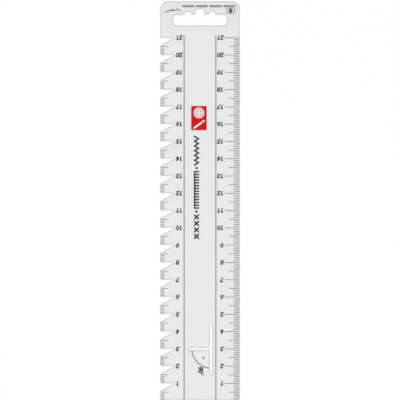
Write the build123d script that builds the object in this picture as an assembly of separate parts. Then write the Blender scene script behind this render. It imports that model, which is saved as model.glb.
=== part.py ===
from build123d import *
import math
import os

# A flat hand gauge for sewing: a clear plastic blade with a toothed edge, a straight edge,
# a T-shaped marking slot, a hanging hole, and a printed scale along both edges.
# Millimetres. The blade lies on its back, with the print on top. The origin is at the
# middle of the blade's length and width, on the back. +Y points to the hanging end,
# and the scale counts upwards from the zero end, at -Y.

# Scale
centimetre = 10.0
centimetres = 21
parts_per_centimetre = 10
scale_length = centimetre * centimetres
millimetre = centimetre / parts_per_centimetre

# Blade
blade_width = 46.0
blade_thickness = 1.2
head_length = 21.2
blade_length = scale_length + head_length
head_corner_radius = 4.3
zero_corner_radius = 0.5
rim_chamfer = 0.2
cut_overrun = 1.0

# Toothed edge: a square flank on each centimetre line, a slanted flank back to it
tooth_flat = 5.7
notch_depth = 7.9
notch_root = 0.2
tooth_corner_radius = 0.5

# Hanging hole: a flat slot with a round seat in the middle and a small one on each side
hang_slot_length = 30.7
hang_slot_height = 6.15
hang_slot_corner_radius = 1.6
hang_slot_from_end = 7.9
seat_radius = 2.55
seat_rise = 1.1
side_seat_radius = 2.0
side_seat_drop = 0.15
side_seat_spacing = 14.2
seat_lip_radius = 0.5

# Marking slot: a long run along the blade and a short one square to it
marking_slot_width = 1.2
long_run_x = 6.4
long_run_start = 15.5
long_run_end = 44.5
short_run_at = 30.0
short_run_reach = 13.1
marking_slot_corner_radius = 0.25

# Print
ink_thickness = 0.03
ink_clearance = 0.1
line_width = 0.28
centimetre_line_length = 8.4
half_line_length = 6.0
millimetre_line_length = 3.2
tooth_half_line_length = 4.2
tooth_millimetre_line_length = 2.1
border_line_width = 0.44
border_line_spacing = 18.4
border_line_above_scale = 1.3
angle_arc_radius = 11.1
angle_arc_width = 0.44
angle_dot_diameter = 1.05
angle_dot_left = 4.4
angle_dot_down = 5.15

# Places worked out from the sizes above
left_edge = -blade_width / 2
right_edge = blade_width / 2
zero_end = -blade_length / 2
hanging_end = blade_length / 2
rim_to_ink = rim_chamfer + ink_clearance


def along(distance):
    """The Y of a place, given its distance from the zero end."""
    return zero_end + distance


def ink_bar(x_low, x_high, y_low, y_high):
    """A printed bar on the blade's top face, between two X and two Y values."""
    at = Location(((x_low + x_high) / 2, (y_low + y_high) / 2, blade_thickness))
    size = (x_high - x_low, y_high - y_low, ink_thickness)
    return at * Box(*size, align=(Align.CENTER, Align.CENTER, Align.MIN))


def rounded_corners(outline, places, radius):
    """The outline with the corners at these places rounded."""
    near = radius / 2
    corners = [
        corner
        for corner in outline.vertices()
        if any(math.hypot(corner.X - x, corner.Y - y) < near for x, y in places)
    ]
    return fillet(corners, radius)


def plate_outline():
    """The blade's rectangle, with its two large corners at the head."""
    plate = Rectangle(blade_width, blade_length)
    sides = (left_edge, right_edge)
    plate = rounded_corners(plate, [(x, hanging_end) for x in sides], head_corner_radius)
    return rounded_corners(plate, [(x, zero_end) for x in sides], zero_corner_radius)


def notch_outline(line):
    """The gap below one centimetre line: square on the line, slanted below it."""
    root_x = left_edge + notch_depth
    slant_foot = line - centimetre + tooth_flat
    slope = (line - notch_root - slant_foot) / notch_depth
    outer_x = left_edge - cut_overrun
    outer_y = slant_foot - slope * cut_overrun
    points = [(outer_x, line), (root_x, line), (root_x, line - notch_root), (outer_x, outer_y)]
    return make_face(Polyline(*points, close=True))


def toothed_outline():
    """The plate with every notch cut and the slanted side of each tooth rounded."""
    lines = [along(centimetre * count) for count in range(1, centimetres + 1)]
    outline = plate_outline()
    for line in lines:
        outline -= notch_outline(line)
    tips = [(left_edge, line - centimetre + tooth_flat) for line in lines]
    return rounded_corners(outline, tips, tooth_corner_radius)


def hanging_hole():
    """The slot that hangs on a hook, with its middle seat and two side seats."""
    slot_top = hanging_end - hang_slot_from_end
    slot_middle = slot_top - hang_slot_height / 2
    slot = RectangleRounded(hang_slot_length, hang_slot_height, hang_slot_corner_radius)
    hole = Pos(0, slot_middle) * slot
    neck_height = seat_rise + hang_slot_height / 2
    hole += Pos(0, slot_top + seat_rise) * Circle(seat_radius)
    hole += Pos(0, slot_middle + neck_height / 2) * Rectangle(2 * seat_radius, neck_height)
    side_x = side_seat_spacing / 2
    side_half_chord = math.sqrt(side_seat_radius**2 - side_seat_drop**2)
    lips = [(-seat_radius, slot_top), (seat_radius, slot_top)]
    for x in (-side_x, side_x):
        hole += Pos(x, slot_top - side_seat_drop) * Circle(side_seat_radius)
        lips += [(x - side_half_chord, slot_top), (x + side_half_chord, slot_top)]
    return rounded_corners(hole, lips, seat_lip_radius)


def marking_slot():
    """The T-shaped slot that a pencil or chalk follows: a right angle on the scale."""
    long_length = long_run_end - long_run_start
    long_middle = along((long_run_start + long_run_end) / 2)
    long_run = Pos(long_run_x, long_middle) * Rectangle(marking_slot_width, long_length)
    short_place = Pos(long_run_x - short_run_reach / 2, along(short_run_at))
    short_run = short_place * Rectangle(short_run_reach, marking_slot_width)
    half_width = marking_slot_width / 2
    ends = [
        (long_run_x + side * half_width, along(end))
        for side in (-1, 1)
        for end in (long_run_start, long_run_end)
    ]
    ends += [
        (long_run_x - short_run_reach, along(short_run_at) + side * half_width)
        for side in (-1, 1)
    ]
    return rounded_corners(long_run + short_run, ends, marking_slot_corner_radius)


def make_blade():
    """The clear plate, cut through, with its sharp rims taken off on both faces."""
    outline = toothed_outline() - hanging_hole() - marking_slot()
    plate = extrude(outline, amount=blade_thickness)
    faces = plate.faces().sort_by(Axis.Z)
    rims = faces[0].edges() + faces[-1].edges()
    return chamfer(rims, rim_chamfer)


def make_straight_edge_scale():
    """The lines along the straight edge: one for every millimetre, in three lengths."""
    outer = right_edge - rim_to_ink
    lines = []
    for count in range(1, centimetres * parts_per_centimetre + 1):
        if count % parts_per_centimetre == 0:
            length = centimetre_line_length
        elif count * 2 % parts_per_centimetre == 0:
            length = half_line_length
        else:
            length = millimetre_line_length
        middle = along(count * millimetre)
        low, high = middle - line_width / 2, middle + line_width / 2
        lines.append(ink_bar(outer - length, outer, low, high))
    return Compound(children=lines)


def make_toothed_edge_scale():
    """The lines on each tooth: four millimetres and the half centimetre."""
    outer = left_edge + rim_to_ink
    half = parts_per_centimetre // 2
    lines = []
    for tooth in range(centimetres):
        for count in range(1, half + 1):
            length = tooth_half_line_length if count == half else tooth_millimetre_line_length
            middle = along(tooth * centimetre + count * millimetre)
            low, high = middle - line_width / 2, middle + line_width / 2
            lines.append(ink_bar(outer, outer + length, low, high))
    return Compound(children=lines)


def make_border_lines():
    """The two long lines that frame the middle field."""
    low = zero_end + rim_to_ink
    high = along(scale_length + border_line_above_scale)
    lines = []
    for middle in (-border_line_spacing / 2, border_line_spacing / 2):
        half_width = border_line_width / 2
        lines.append(ink_bar(middle - half_width, middle + half_width, low, high))
    return Compound(children=lines)


def make_right_angle_mark():
    """The arc between the two runs of the marking slot, and the dot in its corner."""
    corner_x, corner_y = long_run_x, along(short_run_at)
    to_slot = marking_slot_width / 2 + rim_to_ink
    ring = Circle(angle_arc_radius + angle_arc_width / 2)
    ring -= Circle(angle_arc_radius - angle_arc_width / 2)
    reach = angle_arc_radius + angle_arc_width
    quarter = Pos(-to_slot, -to_slot) * Rectangle(reach, reach, align=(Align.MAX, Align.MAX))
    dot = Pos(-angle_dot_left, -angle_dot_down) * Circle(angle_dot_diameter / 2)
    mark = (ring & quarter) + dot
    return extrude(Pos(corner_x, corner_y, blade_thickness) * mark, amount=ink_thickness)


pieces = {
    "blade": make_blade,
    "straight_edge_scale": make_straight_edge_scale,
    "toothed_edge_scale": make_toothed_edge_scale,
    "border_lines": make_border_lines,
    "right_angle_mark": make_right_angle_mark,
}

os.makedirs("parts", exist_ok=True)
for name, make in pieces.items():
    export_step(make(), f"parts/{name}.step")
    print(name)
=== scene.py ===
# %% [markdown]
# # A clear sewing gauge
#
# The object is a hand gauge for sewing: one flat blade of clear plastic, 231 mm long, with a
# tooth for every centimetre on its left edge, a ruled right edge, a hanging hole and a T-shaped
# marking slot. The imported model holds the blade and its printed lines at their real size, and
# neither is moved or reshaped here. This lesson adds the rest of the print, the finish of the
# plastic and the inks, and a plain studio.

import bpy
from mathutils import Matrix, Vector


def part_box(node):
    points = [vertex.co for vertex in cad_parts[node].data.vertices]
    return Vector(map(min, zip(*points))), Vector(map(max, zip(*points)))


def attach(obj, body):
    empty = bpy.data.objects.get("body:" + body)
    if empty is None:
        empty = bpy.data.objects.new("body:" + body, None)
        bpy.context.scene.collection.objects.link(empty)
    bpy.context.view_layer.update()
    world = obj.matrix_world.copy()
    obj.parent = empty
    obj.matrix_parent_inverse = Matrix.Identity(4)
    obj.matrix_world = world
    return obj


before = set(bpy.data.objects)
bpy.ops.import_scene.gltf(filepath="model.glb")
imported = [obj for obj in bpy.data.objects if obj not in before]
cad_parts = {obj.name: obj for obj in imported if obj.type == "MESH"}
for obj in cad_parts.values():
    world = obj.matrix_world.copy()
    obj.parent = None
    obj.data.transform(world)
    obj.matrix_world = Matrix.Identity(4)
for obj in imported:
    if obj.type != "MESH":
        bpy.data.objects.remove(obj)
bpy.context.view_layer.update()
print("nodes:", sorted(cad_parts))

# %% [markdown]
# Shapes are worked out as whole arrays with numpy, and mathutils brings the triangulation that
# merges pen strokes where they cross.

# %% Tools
import math

import bpy
import numpy as np
from mathutils import Vector
from mathutils.geometry import delaunay_2d_cdt

# %% [markdown]
# ## Places that the print follows
#
# The numerals belong to the printed lines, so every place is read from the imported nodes: the
# face that the ink lies on, the top of the ink, the zero end, and where the long lines stop.
# Sizes are in metres, written as millimetres.

# %% Read the places
mm = 0.001
centimetre = 10 * mm
blade_low, blade_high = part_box("blade")
lines_low, lines_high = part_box("straight_edge_scale")
face_z = lines_low.z
ink_z = lines_high.z
zero_end = blade_low.y
head_end = blade_high.y
centimetres = int((lines_high.y - zero_end) / centimetre)
print("the blade runs from", round(zero_end / mm, 2), "to", round(head_end / mm, 2), "mm")
print("centimetres on the scale:", centimetres)
print("the ink lies from", round(face_z / mm, 3), "to", round(ink_z / mm, 3), "mm")

# %% [markdown]
# ## The camera
#
# The gauge was photographed from straight above. A long lens, far away, keeps the walls of the
# teeth from showing. The distance follows from the lens: the picture is as wide as the sensor's
# width over the focal length, times the distance.

# %% Place the camera
picture_width = 231.35 * mm
picture_centre_y = zero_end + 116.14 * mm
focal_length = 100.0
sensor_width = 36.0

camera_data = bpy.data.cameras.new("camera")
camera_data.lens = focal_length
camera_data.sensor_width = sensor_width
camera_data.clip_start = 0.01
camera = bpy.data.objects.new("camera", camera_data)
camera_distance = picture_width * focal_length / sensor_width
camera.location = (0, picture_centre_y, face_z + camera_distance)
bpy.context.scene.collection.objects.link(camera)
bpy.context.scene.camera = camera
print("camera distance:", round(camera_distance, 4), "m")

# %% [markdown]
# ## A pen stroke as a strip
#
# Printed figures could be text objects, but a font brings its own look. Here each figure is drawn
# as a draughtsman draws it, with a pen: a path, and a strip of even width along it. The path is an
# array of points, and the strip is worked out for all its points at once.

# %% Strokes
def stroke(*points, ends=(0.5, 0.5)):
    """An open path through these points. Each end is later made longer by a share of the pen."""
    return {"path": np.array(points, float), "ends": ends}


def arc(centre, reach, start, end, steps=18):
    """The points of an elliptical arc: the centre plus the reach times the cosine and sine of an
    angle, which runs from start to end in degrees."""
    turn = np.radians(np.linspace(start, end, steps))
    return np.column_stack([np.cos(turn), np.sin(turn)]) * reach + centre


def ring(centre, reach, steps=24):
    """A closed ellipse: the centre plus the reach times the cosine and sine of a full turn. The
    pen spreads outward along the same cosines and sines, so its two sides are ellipses as well."""
    turn = np.linspace(0, 2 * math.pi, steps, endpoint=False)
    outward = np.column_stack([np.cos(turn), np.sin(turn)])
    return {"path": outward * reach + centre, "outward": outward}


def mitres(path):
    """The way to the right at each point of an open path: the sum of the normals of the two runs
    that meet there, over half the square of its length. Both sides stay parallel to the runs."""
    runs = np.diff(path, axis=0)
    runs /= np.linalg.norm(runs, axis=1, keepdims=True)
    normals = np.column_stack([runs[:, 1], -runs[:, 0]])
    sums = np.vstack([normals[:1], normals]) + np.vstack([normals, normals[-1:]])
    return 2 * sums / (sums**2).sum(axis=1, keepdims=True)


def lengthened(path, ends, pen):
    """An open path with each end moved on by its share of the pen."""
    tips = np.array([path[0] - path[1], path[-1] - path[-2]])
    tips /= np.linalg.norm(tips, axis=1, keepdims=True)
    longer = path.copy()
    longer[[0, -1]] += tips * pen * np.array(ends)[:, None]
    return longer


def strip(shape, pen):
    """The corners and quads of the strip that a pen leaves along a shape: half the pen's width to
    each side of its path. Closed paths run anticlockwise, so their way outward is the right, and
    every quad turns anticlockwise too, as the triangulation needs it."""
    closed = "outward" in shape
    path = shape["path"] if closed else lengthened(shape["path"], shape["ends"], pen)
    reach = (shape["outward"] if closed else mitres(path)) * pen / 2
    count = len(path)
    here = np.arange(count if closed else count - 1)
    there = (here + 1) % count
    quads = np.column_stack([here, here + count, there + count, there])
    return np.vstack([path - reach, path + reach]), quads


# %% [markdown]
# ## From strips to one film of ink
#
# Strips that cross would leave walls inside the ink. A constrained Delaunay triangulation merges
# them: it cuts every strip at every crossing, and tells for each triangle which strips cover it.
# The flat net is then given its thickness: the net at the top, the same net turned over at the
# bottom, and a wall along each edge that only one triangle has.

# %% Nets and films
crossing_tolerance = 1e-4


def merged(strips, keep=bool):
    """One flat net of triangles from many strips. keep gets the list of the faces that cover a
    triangle, and says whether the triangle stays. Every triangle turns anticlockwise."""
    points, faces, start = [], [], 0
    for corners, polygons in strips:
        points += list(map(Vector, corners))
        faces += [[corner + start for corner in polygon] for polygon in polygons]
        start += len(corners)
    result = delaunay_2d_cdt(points, [], faces, 0, crossing_tolerance)
    kept = [face for face, cover in zip(result[2], result[5]) if keep(cover)]
    corners = np.array([point[:] for point in result[0]])
    triangles = np.array(kept)
    a, b, c = (corners[triangles[:, side]] for side in range(3))
    area = np.cross(b - a, c - a)
    triangles[area < 0] = triangles[area < 0][:, ::-1]
    used, renumbered = np.unique(triangles, return_inverse=True)
    return corners[used], renumbered.reshape(-1, 3)


def side_by_side(nets):
    """Several nets as one: their points in a row, and their triangles numbered onwards."""
    starts = np.cumsum([0] + [len(points) for points, _ in nets[:-1]])
    triangles = [corners + start for (_, corners), start in zip(nets, starts)]
    return np.vstack([points for points, _ in nets]), np.vstack(triangles)


def placed(net, at, turn=0.0, anchor=(0.0, 0.0)):
    """A net moved so that its anchor lies at a place, after a turn about the anchor: the turn's
    cosine and sine mix the two coordinates."""
    points, triangles = net
    cosine, sine = math.cos(math.radians(turn)), math.sin(math.radians(turn))
    turned = (points - anchor) @ np.array([[cosine, sine], [-sine, cosine]])
    return turned + at, triangles


def film(name, net, low, high):
    """A closed piece of ink from a flat net in millimetres: top, bottom and the walls between."""
    points, triangles = net
    count = len(points)
    edges = np.vstack([triangles[:, [0, 1]], triangles[:, [1, 2]], triangles[:, [2, 0]]])
    _, first, times = np.unique(
        np.sort(edges, axis=1), axis=0, return_index=True, return_counts=True
    )
    rim = edges[first[times == 1]]
    walls = np.column_stack([rim, rim[:, ::-1] + count])
    levels = [np.column_stack([points * mm, np.full(count, z)]) for z in (low, high)]
    faces = (triangles + count).tolist() + triangles[:, ::-1].tolist() + walls.tolist()
    mesh = bpy.data.meshes.new(name)
    mesh.from_pydata(np.vstack(levels).tolist(), [], faces)
    mesh.validate()
    piece = bpy.data.objects.new(name, mesh)
    bpy.context.scene.collection.objects.link(piece)
    print(name, "has", len(mesh.polygons), "faces")
    return piece


# %% [markdown]
# ## The figures
#
# The numerals are bold and slanted, of plain round shapes: a nought is an ellipse, a six is a ring
# with a straight stem. Each is a list of strokes in a box that is one wide and one high. The box
# is then scaled to the figure less the pen's width, because the pen reaches half its width past
# the path on every side. A shear slants the figure about half its height.

# %% Draw the ten figures
figure_height = 2.78
figure_width = 1.9
figure_pen = 0.61
figure_advance = 1.86
figure_slant = math.tan(math.radians(12))

SHAPES = {
    "0": [ring((0.5, 0.5), (0.5, 0.5))],
    "1": [stroke((0.6, 1), (0.6, 0)), stroke((0.1, 0.82), (0.5, 1.01), ends=(0.3, 0))],
    "2": [
        stroke(*arc((0.5, 0.7), (0.46, 0.3), 175, -38), (0.1, 0), ends=(0.5, 0)),
        stroke((0.06, 0), (0.94, 0)),
    ],
    "3": [
        stroke(*arc((0.46, 0.755), (0.42, 0.245), 160, -90), ends=(0.5, 0)),
        stroke(*arc((0.46, 0.255), (0.5, 0.255), 90, -160), ends=(0, 0.5)),
        stroke((0.24, 0.51), (0.5, 0.51), ends=(0, 0)),
    ],
    "4": [
        stroke((0.66, 1.08), (0.02, 0.27), ends=(0, 0)),
        stroke((0.1, 0.25), (1, 0.25)),
        stroke((0.7, 0), (0.7, 1)),
    ],
    "5": [
        stroke((0.88, 1), (0.2, 1), (0.12, 0.55), ends=(0.5, 0.3)),
        stroke(*arc((0.46, 0.32), (0.52, 0.32), 125, -150), ends=(0, 0.5)),
    ],
    "6": [
        ring((0.5, 0.32), (0.5, 0.32)),
        stroke((0.6, 1), (0.05, 0.45), ends=(0.5, 0)),
    ],
    "7": [stroke((0.02, 1), (0.94, 1), (0.32, 0))],
    "8": [
        ring((0.5, 0.77), (0.42, 0.23)),
        ring((0.5, 0.27), (0.5, 0.27)),
    ],
    "9": [
        ring((0.5, 0.68), (0.5, 0.32)),
        stroke((0.4, 0), (0.95, 0.55), ends=(0.5, 0)),
    ],
}


def drawn(shapes, pen):
    """A figure's net: every path is scaled to the figure less the pen, sheared by the slant about
    half the figure's height, and followed by the pen."""
    size = np.array([figure_width, figure_height]) - pen
    strips = []
    for shape in shapes:
        path = shape["path"] * size + pen / 2
        path[:, 0] += figure_slant * (path[:, 1] - figure_height / 2)
        strips.append(strip(dict(shape, path=path), pen))
    return merged(strips)


figures = {name: drawn(shapes, figure_pen) for name, shapes in SHAPES.items()}
print("triangles in each figure:", {name: len(net[1]) for name, net in figures.items()})

# %% [markdown]
# ## The two columns of numerals
#
# The figures stand at their centimetre lines, with their heads towards the zero end, so they are
# turned by half a turn. Both columns line up on their outer side: beside the long lines on the
# ruled edge, and beside the roots of the notches on the toothed edge.

# %% Set the numerals
gap_to_line = 0.65
toothed_column_x = -13.9


def numeral(text, nets_of=figures, advance=figure_advance):
    """The net of a whole number and its width: figures in a row, one advance apart."""
    nets = [placed(nets_of[figure], (place * advance, 0)) for place, figure in enumerate(text)]
    return side_by_side(nets), figure_width + advance * (len(text) - 1)


def column(x, share_of_width):
    """All numerals of one edge, each at the height of its line. The share says which part of its
    width lies at x: 0 for its first side, 1 for its last."""
    nets = []
    for count in range(1, centimetres + 1):
        net, width = numeral(str(count))
        anchor = (share_of_width * width, figure_height / 2)
        line_y = (zero_end + count * centimetre) / mm
        nets.append(placed(net, (x, line_y), 180, anchor))
    return side_by_side(nets)


ruled_column_x = lines_low.x / mm - gap_to_line
straight_edge_numerals = film(
    "straight_edge_numerals", column(ruled_column_x, 0), face_z, ink_z
)
toothed_edge_numerals = film(
    "toothed_edge_numerals", column(toothed_column_x, 1), face_z, ink_z
)

# %% [markdown]
# ## The angle figure
#
# Beside the arc between the two runs of the marking slot stands a right angle's size, 90 degrees.
# It reads along the blade, so it is turned by a quarter turn. It is printed bolder than the scale,
# so its two figures are drawn again with a wider pen. The degree sign is a small ring.

# %% Set the angle figure
angle_scale = 1.06
angle_pen = 0.68
angle_advance = 1.64
degree_reach = 0.4
degree_gap = 0.25
degree_pen = 0.32
angle_figure_at = (0.35, zero_end / mm + 19.65)


def angle_net():
    """A nine, a nought and a small ring in one row, merged because the two figures touch, and
    scaled to the size of the angle figure."""
    bold_figures = {name: drawn(SHAPES[name], angle_pen) for name in "90"}
    number, width = numeral("90", bold_figures, angle_advance)
    middle = (width + degree_gap + degree_reach, figure_height - degree_reach)
    sign = strip(ring(middle, degree_reach), degree_pen)
    points, triangles = merged([number, sign])
    return points * angle_scale, triangles


angle_figure = film(
    "angle_figure", placed(angle_net(), angle_figure_at, -90, (0, figure_height / 2)), face_z, ink_z
)

# %% [markdown]
# ## The red panel
#
# A screen printer first lays a white ground and then the red over it, with the motif left open.
# The panel is made the same way: a thin white film, and on it a red film with a button and a
# needle cut out of it. The triangulation says which triangles lie under the panel alone, and only
# those stay red.

# %% Print the panel
panel_size = (9.0, 14.0)
panel_at = (-0.6, zero_end / mm + 163.5)
panel_corner = 0.3
ground_share = 0.4
ground_inset = 0.15
button_reach = 3.1
button_at = (0.0, 3.0)
button_rim_pen = 0.36
button_rim_share = 0.72
button_hole_reach = 0.38
button_hole_step = 0.78
button_steps = 40
button_hole_steps = 16
needle_from = (2.8, -1.6)
needle_to = (-2.7, -5.7)
needle_pen = 1.0
eye_from = (2.4, -1.9)
eye_to = (1.4, -2.64)
eye_pen = 0.34


def rounded_plate(centre, size, corner, steps=6):
    """The outline of a plate with round corners, as a closed shape: a quarter circle about each
    corner's centre, taken in turn."""
    turn = np.radians(np.linspace(0, 90, steps))
    quarter = np.column_stack([np.cos(turn), np.sin(turn)])
    spin = np.array([[0, 1], [-1, 0]])
    outward = np.vstack([quarter @ np.linalg.matrix_power(spin, corners) for corners in range(4)])
    signs = np.repeat([(1, 1), (-1, 1), (-1, -1), (1, -1)], steps, axis=0)
    path = outward * corner + signs * (np.array(size) / 2 - corner) + centre
    return {"path": path, "outward": outward}


def filled(shape):
    """A closed shape as one face."""
    return shape["path"], [list(range(len(shape["path"])))]


def red_net():
    """The panel less the button and the needle, plus the button's rim line and four holes. A
    triangle is red when no motif covers it, or when a line or hole on the motif does."""
    red_plate = filled(rounded_plate((0, 0), panel_size, panel_corner))
    button = filled(ring(button_at, button_reach, button_steps))
    needle = strip(stroke(needle_from, needle_to), needle_pen)
    button_rim = ring(button_at, button_reach * button_rim_share, button_steps)
    marks = [strip(button_rim, button_rim_pen)]
    places = (-button_hole_step, button_hole_step)
    for x in places:
        for y in places:
            hole_at = (button_at[0] + x, button_at[1] + y)
            marks.append(filled(ring(hole_at, button_hole_reach, button_hole_steps)))
    marks.append(strip(stroke(eye_from, eye_to), eye_pen))
    first_mark = 1 + 1 + len(needle[1])
    return merged(
        [red_plate, button, needle] + marks,
        lambda cover: 0 in cover and (len(cover) == 1 or max(cover) >= first_mark),
    )


ground_z = face_z + ground_share * (ink_z - face_z)
ground_size = tuple(side - 2 * ground_inset for side in panel_size)
ground_net = merged([filled(rounded_plate(panel_at, ground_size, panel_corner))])
panel_ground = film("panel_ground", ground_net, face_z, ground_z)
panel_red = film("panel_red", placed(red_net(), panel_at), ground_z, ink_z)

# %% [markdown]
# ## Stitch samples
#
# The middle field below the panel carries a column of small bold marks, which are plain stitches:
# a zigzag, a blanket stitch and crosses, with a dot between each two. They are drawn as the figures
# are, with a broader pen. A span along the blade and a count of rows give each stitch its places.

# %% Draw the stitch samples
sample_x = -2.02
sample_width = 3.0
sample_pen = 0.86
sample_dot_reach = 0.68
sample_dot_steps = 20
zigzag_span = (152.9, 136.4)
zigzag_count = 13
blanket_span = (132.5, 111.5)
blanket_count = 14
cross_span = (106.3, 95.1)
cross_count = 4
dot_places = (134.6, 109.5)


def rows(span, count):
    """Evenly spaced places along the blade, from one end of a span to the other, in millimetres
    from the zero end, as Y."""
    return np.linspace(*span, count) + zero_end / mm


def zigzag(span, count):
    """One stroke that swings from side to side at evenly spaced rows."""
    places = rows(span, count)
    reach = (sample_width - sample_pen) / 2
    sides = sample_x + reach * np.where(np.arange(count) % 2, 1, -1)
    return [stroke(*np.column_stack([sides, places]))]


def blanket(span, count):
    """A spine along the blade, and a leg square to it at each row."""
    places = rows(span, count)
    left, right = (sample_x + side * (sample_width - sample_pen) / 2 for side in (-1, 1))
    spine = [stroke((left, places[0]), (left, places[-1]))]
    return spine + [stroke((left, y), (right, y)) for y in places]


def crosses(span, count):
    """Two slanted strokes through the middle of each row."""
    reach = (sample_width - sample_pen) / 2
    shapes = []
    for y in rows(span, count):
        for lean in (-1, 1):
            shapes.append(
                stroke((sample_x - reach, y - lean * reach), (sample_x + reach, y + lean * reach))
            )
    return shapes


sample_shapes = zigzag(zigzag_span, zigzag_count)
sample_shapes += blanket(blanket_span, blanket_count)
sample_shapes += crosses(cross_span, cross_count)
sample_strips = [strip(shape, sample_pen) for shape in sample_shapes]
for distance in dot_places:
    dot_at = (sample_x, distance + zero_end / mm)
    sample_strips.append(filled(ring(dot_at, sample_dot_reach, sample_dot_steps)))
stitch_samples = film("stitch_samples", merged(sample_strips), face_z, ink_z)

# %% [markdown]
# ## Small marks on the head
#
# Three finer marks stand above the hanging hole: a row of cross stitches, a needle with a wavy
# thread, and a button in a frame. The crosses are two slanted strokes each, as in the samples, and
# the thread is a sine wave that a narrow pen follows.

# %% Draw the head marks
fine_pen = 0.33
bold_pen = 0.48
frame_pen = 0.27
cross_pen = 0.31
row_x = (-9.7, 19.9)
row_y = head_end / mm - 2.95
row_count = 27
row_group = 7
cross_reach = 0.5
needle_tip = (-20.2, head_end / mm - 6.3)
needle_length = 4.6
needle_lean = 1.2
eye_reach = (0.5, 0.38)
thread_length = 3.9
thread_swing = 0.6
thread_bows = 3
thread_points = 33
frame_at = (17.7, head_end / mm - 5.65)
frame_size = (4.6, 3.1)
frame_corner = 0.6
badge_button_reach = 1.15
badge_button_steps = 28
badge_hole_reach = 0.2
badge_hole_step = 0.4
badge_hole_steps = 12


def cross_row():
    """Small crosses at even steps from one X to the other, in groups: every so many is left out."""
    places = np.linspace(*row_x, row_count)
    shapes = []
    for x in places[np.arange(row_count) % row_group != row_group - 1]:
        for rise in (-cross_reach, cross_reach):
            shapes.append(stroke((x - cross_reach, row_y - rise), (x + cross_reach, row_y + rise)))
    return [strip(shape, cross_pen) for shape in shapes]


def needle_and_thread():
    """A slanted needle, its eye as a long ring, and a thread that swings as a sine wave."""
    x, y = needle_tip
    eye_x, eye_y = x + needle_length, y + needle_lean
    wave = np.linspace(0, 1, thread_points)
    thread = np.column_stack([
        eye_x + eye_reach[0] + thread_length * wave,
        eye_y - thread_swing * np.sin(wave * thread_bows * math.pi),
    ])
    return [
        strip(stroke((x, y), (eye_x - eye_reach[0], eye_y)), bold_pen),
        strip(ring((eye_x, eye_y), eye_reach), fine_pen),
        strip(stroke(*thread), fine_pen),
    ]


def framed_button():
    """A rounded frame line about a button, whose two holes the keeping rule leaves open."""
    frame_line = strip(rounded_plate(frame_at, frame_size, frame_corner), frame_pen)
    button = filled(ring(frame_at, badge_button_reach, badge_button_steps))
    strips = [frame_line, button]
    for x in (frame_at[0] - badge_hole_step, frame_at[0] + badge_hole_step):
        strips.append(filled(ring((x, frame_at[1]), badge_hole_reach, badge_hole_steps)))
    return strips


def button_net():
    """The framed button as one net: a triangle stays unless a hole covers it."""
    strips = framed_button()
    first_hole = len(strips[0][1]) + 1
    return merged(strips, lambda cover: cover and max(cover) < first_hole)


head_marks = film(
    "head_marks",
    side_by_side([merged(cross_row()), merged(needle_and_thread()), button_net()]),
    face_z,
    ink_z,
)

# %% [markdown]
# ## A shared finish for everything printed or moulded
#
# Three effects turn up in more than one material, so each is a node group with named sockets:
# haze from handling, fine scratches, and the grain of screen-printed ink. They read Object
# coordinates, which here are metres in the part's own frame, and give out masks and heights only.

# %% Helpers for nodes
def add(tree, kind, **settings):
    """A new node with its properties set."""
    made = tree.nodes.new(kind)
    for name, value in settings.items():
        setattr(made, name, value)
    return made


def join(tree, source, target):
    """A link from one socket to another, or a plain value put on the target."""
    if isinstance(source, bpy.types.NodeSocket):
        tree.links.new(source, target)
    else:
        target.default_value = source


def calculate(tree, operation, *values, clamp=False):
    """A Math node on sockets or numbers, and its output."""
    made = add(tree, "ShaderNodeMath", operation=operation, use_clamp=clamp)
    for value, target in zip(values, made.inputs):
        join(tree, value, target)
    return made.outputs[0]


def spread(tree, value, low, high, to_low=0.0, to_high=1.0, smooth=False):
    """A Map Range node: the value from low to high becomes to_low to to_high."""
    kind = "SMOOTHSTEP" if smooth else "LINEAR"
    made = add(tree, "ShaderNodeMapRange", interpolation_type=kind)
    for target, given in zip(made.inputs, (value, low, high, to_low, to_high)):
        join(tree, given, target)
    return made.outputs[0]


def mix_colours(tree, share, first, second):
    """A colour mix by a share, and its output."""
    made = add(tree, "ShaderNodeMix", data_type="RGBA")
    join(tree, share, made.inputs[0])
    join(tree, first, made.inputs[6])
    join(tree, second, made.inputs[7])
    return made.outputs[2]


def noise(tree, vector, scale, detail=3.0, roughness=0.5):
    """A Noise texture's value over a vector."""
    made = add(tree, "ShaderNodeTexNoise")
    join(tree, vector, made.inputs["Vector"])
    join(tree, scale, made.inputs["Scale"])
    made.inputs["Detail"].default_value = detail
    made.inputs["Roughness"].default_value = roughness
    return made.outputs["Fac"]


def new_group(name, inputs, outputs):
    """A node group with float inputs, given with their defaults, and float outputs."""
    group = bpy.data.node_groups.new(name, "ShaderNodeTree")
    for label, value in inputs.items():
        socket = group.interface.new_socket(label, in_out="INPUT", socket_type="NodeSocketFloat")
        socket.default_value = value
    for label in outputs:
        group.interface.new_socket(label, in_out="OUTPUT", socket_type="NodeSocketFloat")
    entry, exit_node = add(group, "NodeGroupInput"), add(group, "NodeGroupOutput")
    place = add(group, "ShaderNodeTexCoord").outputs["Object"]
    return group, entry.outputs, exit_node.inputs, place


def use(tree, group, **values):
    """A group placed in a material with its own values, and its outputs."""
    made = add(tree, "ShaderNodeGroup", node_tree=group)
    for label, value in values.items():
        join(tree, value, made.inputs[label])
    return made.outputs


# %% [markdown]
# Haze is what hands leave on a smooth face: broad, soft patches a few millimetres to a few
# centimetres across. Two noises of different size, multiplied, give patches with finer edges.

# %% Handling haze
broad_range = (0.35, 0.7)
fine_range = (0.3, 0.7)
smears_per_patch = 5.0


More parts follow.
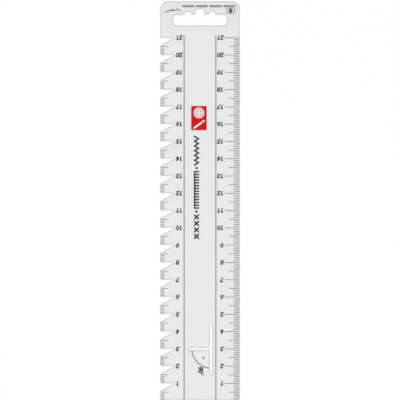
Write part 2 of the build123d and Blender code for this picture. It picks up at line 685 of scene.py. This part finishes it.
def make_haze():
    """Haze: a broad noise times a finer one, both widened to their full range."""
    group, given, out, place = new_group("handling_haze", {"Size": 0.02}, ["Haze"])
    pitch = calculate(group, "DIVIDE", 1.0, given["Size"])
    broad = spread(group, noise(group, place, pitch), *broad_range)
    finer = calculate(group, "MULTIPLY", pitch, smears_per_patch)
    smears = spread(group, noise(group, place, finer), *fine_range)
    join(group, calculate(group, "MULTIPLY", broad, smears), out["Haze"])
    return group


# %% [markdown]
# A plastic gauge slides over tables and cloth, and gets hairline scratches, most of them along
# the blade. A noise that is squeezed a hundredfold across one direction has only long thin
# streaks, and the top few percent of it are the scratches.

# %% Fine scratches
scratch_directions = ((4, 9000, 60), (-11, 7000, 90), (63, 8000, 110))
rarest_peak = 0.78
peak_per_share = 0.2
peak_width = 0.06


def make_scratches():
    """Scratches: the peaks of noises that are stretched along three directions, the strongest of
    them. Each direction is a turn in degrees and the scale across and along it."""
    group, given, out, place = new_group("fine_scratches", {"Share": 0.3}, ["Scratches"])
    lowered = calculate(group, "MULTIPLY", given["Share"], peak_per_share)
    least = calculate(group, "SUBTRACT", rarest_peak, lowered)
    most = calculate(group, "ADD", least, peak_width)
    strongest = 0.0
    for turn, across, along in scratch_directions:
        mapping = add(group, "ShaderNodeMapping")
        mapping.inputs["Rotation"].default_value = (0, 0, math.radians(turn))
        mapping.inputs["Scale"].default_value = (across, along, across)
        join(group, place, mapping.inputs["Vector"])
        streak = noise(group, mapping.outputs[0], 1.0, detail=2.0)
        strongest = calculate(group, "MAXIMUM", strongest, spread(group, streak, least, most))
    join(group, strongest, out["Scratches"])
    return group


# %% [markdown]
# Screen-printed ink is pressed through a mesh. It keeps a faint trace of the mesh's threads, and
# small soft differences in how thick it lies. Two crossed sine waves are the threads.

# %% Ink grain
grain_scale = 5200.0


def make_grain():
    """Grain: a fine noise. Threads: the product of two sine waves, one along X and one along Y,
    a thread apart."""
    group, given, out, place = new_group("ink_grain", {"Thread": 0.0001}, ["Grain", "Threads"])
    axes = add(group, "ShaderNodeSeparateXYZ")
    join(group, place, axes.inputs[0])
    pitch = calculate(group, "DIVIDE", 2 * math.pi, given["Thread"])
    waves = [
        calculate(group, "SINE", calculate(group, "MULTIPLY", axes.outputs[axis], pitch))
        for axis in "XY"
    ]
    join(group, calculate(group, "MULTIPLY", *waves), out["Threads"])
    join(group, spread(group, noise(group, place, grain_scale), *fine_range), out["Grain"])
    return group


haze, scratches, grain = make_haze(), make_scratches(), make_grain()
print("groups:", [group.name for group in (haze, scratches, grain)])

# %% [markdown]
# ## Clear plastic
#
# The blade is moulded from clear, faintly grey plastic. It is glass in the shader's terms: nearly
# full transmission, a plain IOR, and a colour that tints what passes. The small share that isn't
# clear is the milky bloom of moulded plastic, which shows on the walls. Near every edge, light that
# enters the face leaves through the wall, so a band less than a millimetre wide looks darker.
# Real tracing could show that only with walls as fine as the real ones, so the band is painted
# shade: a mask darkens the colour there. Ambient occlusion on the inside of the plastic gives the
# mask: it counts how much of a point's surroundings a wall closes off within a short distance.
# Lamp light passes through the blade to the floor, as it does through real clear plastic, by a
# Transparent shader for shadow rays.

# %% The plastic
plastic_tint = (0.827, 0.827, 0.824, 1)
# The plastic turns a trace darker towards the head end, between the next two places.
head_end_tint = (0.797, 0.797, 0.793, 1)
head_tint_from = head_end - 21 * mm
head_tint_to = head_end - 13 * mm
# The colour of the painted shade along every edge, where light leaves through the walls.
painted_rim_shade = (0.62, 0.62, 0.613, 1)
rim_reach = 1.15 * mm
rim_range = (0.015, 0.15)
plastic_ior = 1.5
clear_share = 0.92
shadow_tint = (0.93, 0.93, 0.93, 1)
face_roughness = (0.02, 0.07)
scratch_roughness = 0.18
rim_roughness = 0.06
ripple_scale = 55.0
ripple_height = 0.1 * mm
ripple_strength = 0.15
scratch_depth = -0.02


def rim_mask(tree):
    """One beside an edge and zero further in: how much of the inside a wall closes off, from the
    occlusion at the distance where the dark band ends to that where it is full."""
    inside = add(tree, "ShaderNodeAmbientOcclusion", inside=True, only_local=True, samples=16)
    inside.inputs["Distance"].default_value = rim_reach
    closed = calculate(tree, "SUBTRACT", 1.0, inside.outputs["AO"])
    return spread(tree, closed, *rim_range, smooth=True)


def make_plastic():
    """Clear plastic: tint, a painted shade along the rims, haze and scratches in the roughness, and
    a bump from the scratches and from the soft ripple that moulding leaves."""
    material = bpy.data.materials.new("moulded_clear_plastic")
    material.use_nodes = True
    tree = material.node_tree
    tree.nodes.clear()
    shader = add(tree, "ShaderNodeBsdfPrincipled")
    shader.inputs["Metallic"].default_value = 0.0
    shader.inputs["IOR"].default_value = plastic_ior
    shader.inputs["Transmission Weight"].default_value = clear_share
    rims = rim_mask(tree)
    place = add(tree, "ShaderNodeTexCoord").outputs["Object"]
    along = add(tree, "ShaderNodeSeparateXYZ")
    join(tree, place, along.inputs[0])
    # Darker towards the head end.
    towards_head = spread(tree, along.outputs["Y"], head_tint_from, head_tint_to, smooth=True)
    body = mix_colours(tree, towards_head, plastic_tint, head_end_tint)
    # Painted shade: beside every edge the colour goes over to the darker rim colour.
    join(tree, mix_colours(tree, rims, body, painted_rim_shade), shader.inputs["Base Color"])
    hazed = use(tree, haze, Size=0.03)["Haze"]
    scratched = use(tree, scratches, Share=0.3)["Scratches"]
    smooth = spread(tree, hazed, 0.0, 1.0, *face_roughness)
    rough = calculate(tree, "MULTIPLY_ADD", scratched, scratch_roughness, smooth)
    rough = calculate(tree, "MULTIPLY_ADD", rims, rim_roughness, rough)
    join(tree, rough, shader.inputs["Roughness"])
    ripple = noise(tree, place, ripple_scale, detail=1.0)
    height = calculate(tree, "MULTIPLY_ADD", scratched, scratch_depth, ripple)
    bump = add(tree, "ShaderNodeBump")
    bump.inputs["Strength"].default_value = ripple_strength
    bump.inputs["Distance"].default_value = ripple_height
    join(tree, height, bump.inputs["Height"])
    join(tree, bump.outputs[0], shader.inputs["Normal"])
    passing = add(tree, "ShaderNodeBsdfTransparent")
    passing.inputs["Color"].default_value = shadow_tint
    either = add(tree, "ShaderNodeMixShader")
    join(tree, add(tree, "ShaderNodeLightPath").outputs["Is Shadow Ray"], either.inputs[0])
    join(tree, shader.outputs[0], either.inputs[1])
    join(tree, passing.outputs[0], either.inputs[2])
    join(tree, either.outputs[0], add(tree, "ShaderNodeOutputMaterial").inputs["Surface"])
    return material


clear_plastic = make_plastic()
print("plastic:", clear_plastic.name)

# %% [markdown]
# ## Three inks
#
# The print is solid ink, satin and opaque. The three inks differ only in colour, so one function
# makes them all: two close shades mixed by the grain, a roughness that handling changes a little,
# and a bump from the threads of the screen.

# %% The inks
ink_specular = 0.18
screen_thread = 0.12 * mm
ink_roughness = (0.58, 0.48)
wear_lightening = 0.4
thread_relief = 0.3
ink_relief = 0.004 * mm
ink_relief_strength = 0.2


def make_ink(name, deep, light):
    """Screen-printed ink: the deep and the light shade mixed by the grain, and the threads and
    the grain as height."""
    material = bpy.data.materials.new(name)
    material.use_nodes = True
    tree = material.node_tree
    shader = tree.nodes["Principled BSDF"]
    shader.inputs["Specular IOR Level"].default_value = ink_specular
    printed = use(tree, grain, Thread=screen_thread)
    hazed = use(tree, haze, Size=0.02)["Haze"]
    worn = use(tree, scratches, Share=0.15)["Scratches"]
    shade = calculate(tree, "MULTIPLY_ADD", worn, wear_lightening, printed["Grain"], clamp=True)
    join(tree, mix_colours(tree, shade, deep, light), shader.inputs["Base Color"])
    join(tree, spread(tree, hazed, 0.0, 1.0, *ink_roughness), shader.inputs["Roughness"])
    height = calculate(tree, "MULTIPLY_ADD", printed["Threads"], thread_relief, printed["Grain"])
    bump = add(tree, "ShaderNodeBump")
    bump.inputs["Strength"].default_value = ink_relief_strength
    bump.inputs["Distance"].default_value = ink_relief
    join(tree, height, bump.inputs["Height"])
    join(tree, bump.outputs[0], shader.inputs["Normal"])
    return material


ink_shades = {
    "black_ink": ((0.014, 0.012, 0.01, 1), (0.034, 0.03, 0.026, 1)),
    "red_ink": ((0.58, 0.002, 0.002, 1), (0.68, 0.004, 0.004, 1)),
    "white_ink": ((0.86, 0.86, 0.85, 1), (0.93, 0.93, 0.92, 1)),
}
inks = {slot: make_ink("printed_" + slot, *shades) for slot, shades in ink_shades.items()}
print("inks:", [ink.name for ink in inks.values()])

# %% [markdown]
# ## Dress the nodes and the new pieces
#
# A imported node keeps its mesh and gets a material in its slot. A new piece gets its ink's
# material too, and the body it rides on.

# %% Give out the materials
def dress(piece, material):
    """Puts one material on a piece, in place of what it had."""
    piece.data.materials.clear()
    piece.data.materials.append(material)


dress(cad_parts["blade"], clear_plastic)
for name in ("straight_edge_scale", "toothed_edge_scale", "border_lines", "right_angle_mark"):
    dress(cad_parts[name], inks["black_ink"])

printed_pieces = {
    "black_ink": (
        straight_edge_numerals,
        toothed_edge_numerals,
        angle_figure,
        stitch_samples,
        head_marks,
    ),
    "red_ink": (panel_red,),
    "white_ink": (panel_ground,),
}
for slot, printed in printed_pieces.items():
    for piece in printed:
        dress(piece, inks[slot])
        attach(piece, "root")
print("dressed", len(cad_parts), "nodes and", sum(map(len, printed_pieces.values())), "pieces")

# %% [markdown]
# ## The floor
#
# The gauge lies on white. The floor is plain white paint in the light of the room, and for the
# camera, for mirrors and for glass most of it is replaced by a steady white. What is left of the
# paint keeps the gauge's shadow.

# %% The floor
floor_reach = 3.0
floor_drop = 0.02 * mm
floor_white = (0.97, 0.97, 0.97, 1)
steady_share = 0.9


def sees_white(tree):
    """One for rays from the camera, off a gloss or through glass, which see the white ground."""
    path = add(tree, "ShaderNodeLightPath")
    either = calculate(
        tree, "MAXIMUM", path.outputs["Is Camera Ray"], path.outputs["Is Glossy Ray"]
    )
    return calculate(tree, "MAXIMUM", either, path.outputs["Is Transmission Ray"])


def make_floor_paint():
    """White paint, mixed with steady white for the rays that see the ground."""
    material = bpy.data.materials.new("white_floor")
    material.use_nodes = True
    tree = material.node_tree
    tree.nodes.clear()
    paint = add(tree, "ShaderNodeBsdfDiffuse")
    paint.inputs["Color"].default_value = floor_white
    white = add(tree, "ShaderNodeEmission")
    both = add(tree, "ShaderNodeMixShader")
    share = calculate(tree, "MULTIPLY", sees_white(tree), steady_share)
    join(tree, share, both.inputs[0])
    join(tree, paint.outputs[0], both.inputs[1])
    join(tree, white.outputs[0], both.inputs[2])
    join(tree, both.outputs[0], add(tree, "ShaderNodeOutputMaterial").inputs["Surface"])
    return material


floor_mesh = bpy.data.meshes.new("floor")
corners = np.array([(-1, -1, 0), (1, -1, 0), (1, 1, 0), (-1, 1, 0)]) * floor_reach
corners[:, 2] = blade_low.z - floor_drop
floor_mesh.from_pydata(corners.tolist(), [], [(0, 1, 2, 3)])
floor = bpy.data.objects.new("floor", floor_mesh)
bpy.context.scene.collection.objects.link(floor)
dress(floor, make_floor_paint())
print("the floor lies at", round(corners[0, 2] / mm, 3), "mm")

# %% [markdown]
# ## The light
#
# Soft light falls on the gauge from everywhere, with hardly a shadow. An even world gives most of
# it, and two large lamps, one on each side, give the rims of the plastic a little shape. As with
# the floor, the camera, gloss and glass see plain white.

# %% The light
lamp_height = 0.7
lamp_size = 0.7
lamp_watts = 3.3
lamp_places = {"lamp_left": (-0.75, 0.35), "lamp_right": (0.65, -0.5)}
room_light = 0.62


def make_room():
    """The world: a soft even light, and plain white where the camera, gloss or glass sees it."""
    world = bpy.data.worlds.new("room")
    world.use_nodes = True
    tree = world.node_tree
    tree.nodes.clear()
    light = add(tree, "ShaderNodeBackground")
    strength = spread(tree, sees_white(tree), 0.0, 1.0, room_light, 1.0)
    join(tree, strength, light.inputs["Strength"])
    light.inputs["Color"].default_value = (1, 1, 1, 1)
    join(tree, light.outputs[0], add(tree, "ShaderNodeOutputWorld").inputs["Surface"])
    bpy.context.scene.world = world


def make_lamp(name, x, y):
    """A large square lamp that looks at the middle of the gauge."""
    data = bpy.data.lights.new(name, "AREA")
    data.size = lamp_size
    data.energy = lamp_watts
    lamp = bpy.data.objects.new(name, data)
    lamp.location = (x, y, lamp_height)
    lamp.rotation_euler = (-lamp.location).to_track_quat("-Z", "Y").to_euler()
    bpy.context.scene.collection.objects.link(lamp)


make_room()
for name, place in lamp_places.items():
    make_lamp(name, *place)
bpy.context.scene.view_settings.view_transform = "Standard"
print("lamps:", list(lamp_places))
